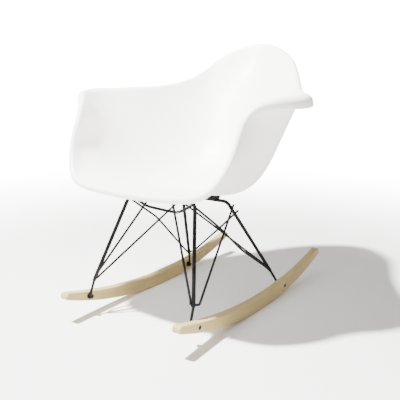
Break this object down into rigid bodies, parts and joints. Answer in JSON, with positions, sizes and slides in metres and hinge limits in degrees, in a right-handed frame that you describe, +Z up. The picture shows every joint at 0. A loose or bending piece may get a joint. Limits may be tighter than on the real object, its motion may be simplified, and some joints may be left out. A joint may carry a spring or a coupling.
{
  "type": "rocking chair",
  "caption": "Armchair rocker: a moulded bucket seat shell on rubber mounts, a welded wire base and curved wooden rockers.",
  "frame": {"origin": "on the floor under the middle of the chair's box", "axes": "+Z up, -Y is the chair's front, +X is the sitter's left"},
  "size_m": [0.6372, 0.7374, 0.6851],
  "materials": {
    "shell": "smooth satin moulded plastic, warm white",
    "rocker_wood": "clear matt lacquer on pale maple",
    "frame_steel": "black powder coat",
    "fastener_steel": "blackened steel",
    "insert_metal": "plain turned brass",
    "mount_rubber": "matt moulded rubber"
  },
  "bodies": {
    "root": {"seat_shell": "shell", "left_rocker": "rocker_wood", "right_rocker": "rocker_wood", "front_leg_frame": "frame_steel", "rear_leg_frame": "frame_steel", "front_brace": "frame_steel", "rocker_bolts": "fastener_steel", "rocker_washers": "fastener_steel", "rocker_nuts": "fastener_steel", "mount_screws": "fastener_steel", "mount_inserts": "insert_metal", "left_front_strut": "frame_steel", "left_side_strut_to_rear": "frame_steel", "left_side_strut_to_front": "frame_steel", "left_rear_strut": "frame_steel", "right_front_strut": "frame_steel", "right_side_strut_to_rear": "frame_steel", "right_side_strut_to_front": "frame_steel", "right_rear_strut": "frame_steel", "front_left_foot_lug": "frame_steel", "front_left_mount_plate": "frame_steel", "front_left_rubber_mount": "mount_rubber", "front_right_foot_lug": "frame_steel", "front_right_mount_plate": "frame_steel", "front_right_rubber_mount": "mount_rubber", "rear_left_foot_lug": "frame_steel", "rear_left_mount_plate": "frame_steel", "rear_left_rubber_mount": "mount_rubber", "rear_right_foot_lug": "frame_steel", "rear_right_mount_plate": "frame_steel", "rear_right_rubber_mount": "mount_rubber"}
  },
  "joints": []
}
